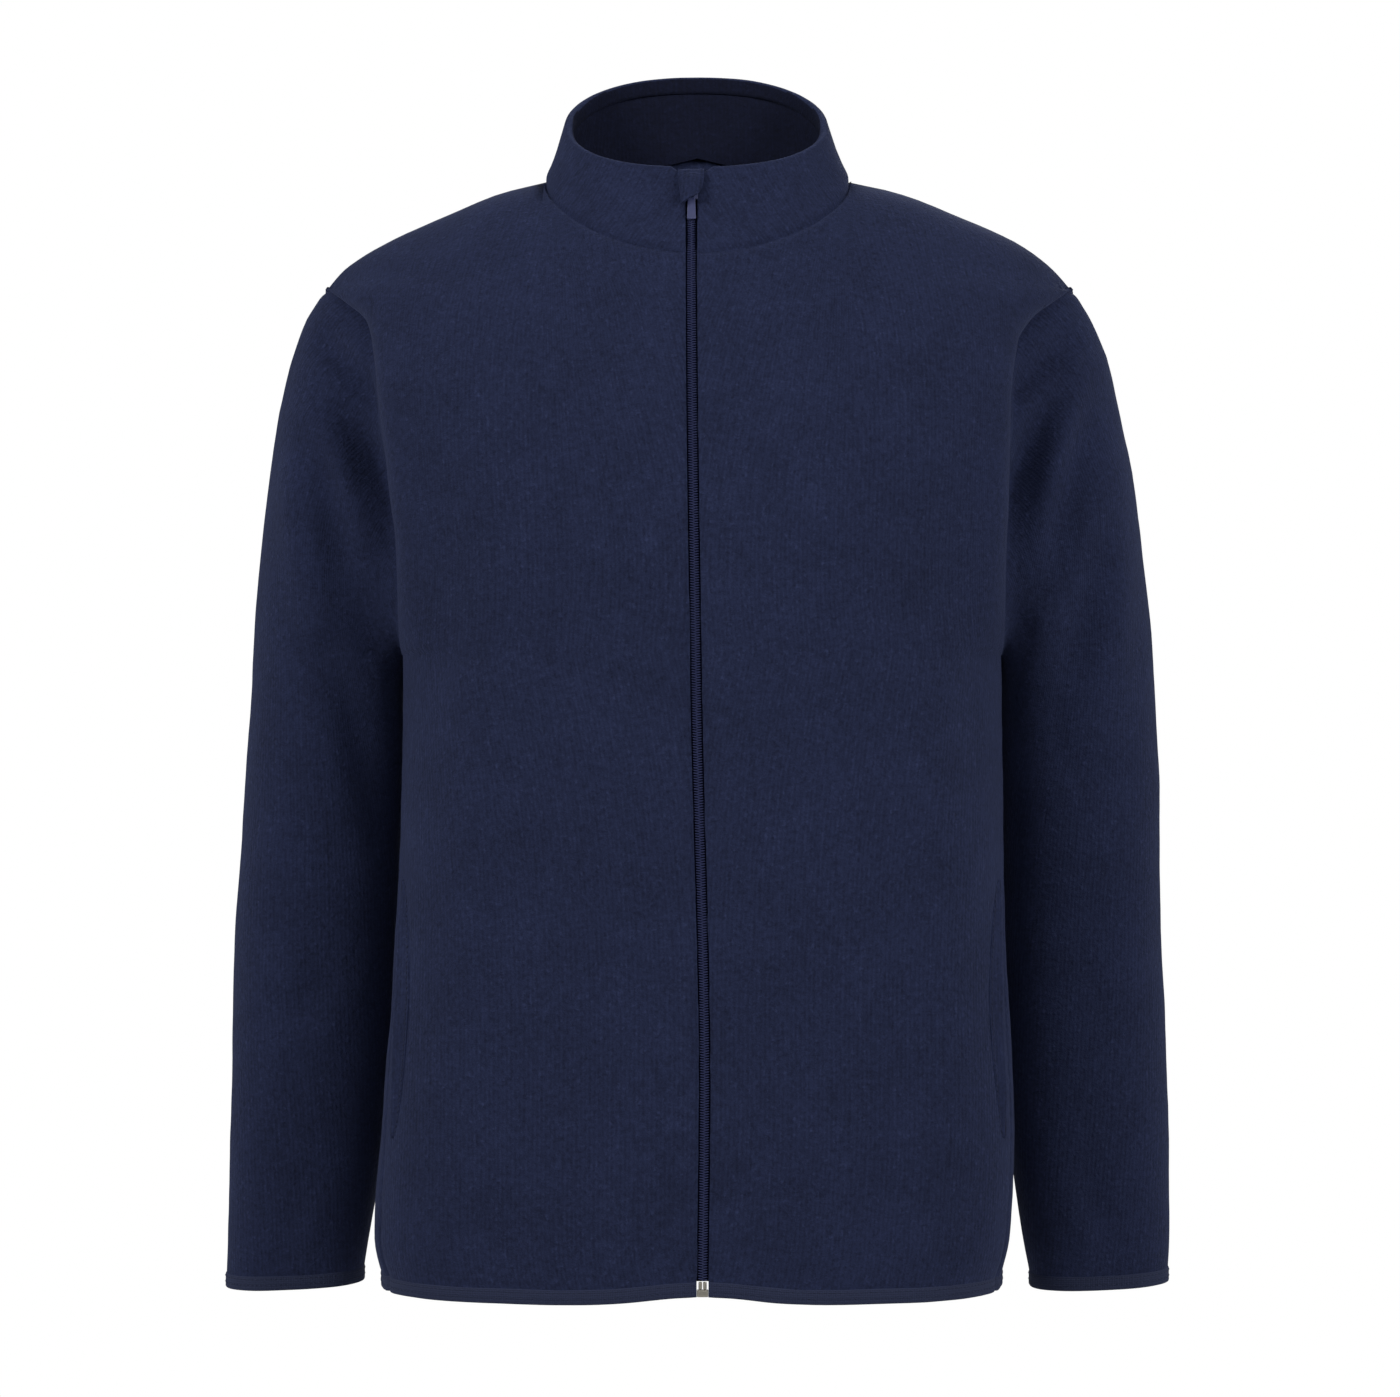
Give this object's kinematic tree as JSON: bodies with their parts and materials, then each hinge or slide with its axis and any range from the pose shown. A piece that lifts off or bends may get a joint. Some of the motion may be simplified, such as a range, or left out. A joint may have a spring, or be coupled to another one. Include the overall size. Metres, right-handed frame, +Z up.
{
  "type": "fleece zip jacket",
  "caption": "Stand-collar fleece jacket with a full-length zip, filled out as worn, with set-in sleeves, side pockets and bound hem and cuffs.",
  "frame": {"origin": "level with the side neck points, midway between the shoulders, where the wearer's neck and shoulders hold the jacket", "axes": "+Z up, the front faces -Y, the wearer's left is +X"},
  "size_m": [0.6153, 0.2681, 0.793],
  "materials": {
    "fleece": "napped fleece",
    "fleece_inside": "napped fleece, in shade",
    "binding": "knitted binding",
    "zip_tape": "woven tape and nylon coil",
    "pull_paint": "satin paint",
    "nickel": "pale nickel plate"
  },
  "bodies": {
    "jacket": {"back": "fleece", "front_left": "fleece", "front_right": "fleece", "sleeve_left": "fleece", "sleeve_right": "fleece", "collar": "fleece", "zip_guard": "fleece", "pocket_welt_left": "fleece", "pocket_welt_right": "fleece", "collar_facing": "fleece_inside", "pocket_bag_left": "fleece_inside", "pocket_bag_right": "fleece_inside", "hem_binding": "binding", "cuff_binding_left": "binding", "cuff_binding_right": "binding", "zip_left": "zip_tape", "zip_right": "zip_tape", "zip_slider": "pull_paint", "zip_box": "nickel", "zip_pin": "nickel", "zip_post": "nickel"},
    "pull": {"pull_tab": "pull_paint"}
  },
  "joints": [
    {"name": "pull_hinge", "type": "hinge", "parent": "jacket", "child": "pull", "pos_m": [-0.0037, -0.08889, -0.01635], "axis": [-1, 0, 0], "range_deg": [0, 16]}
  ]
}
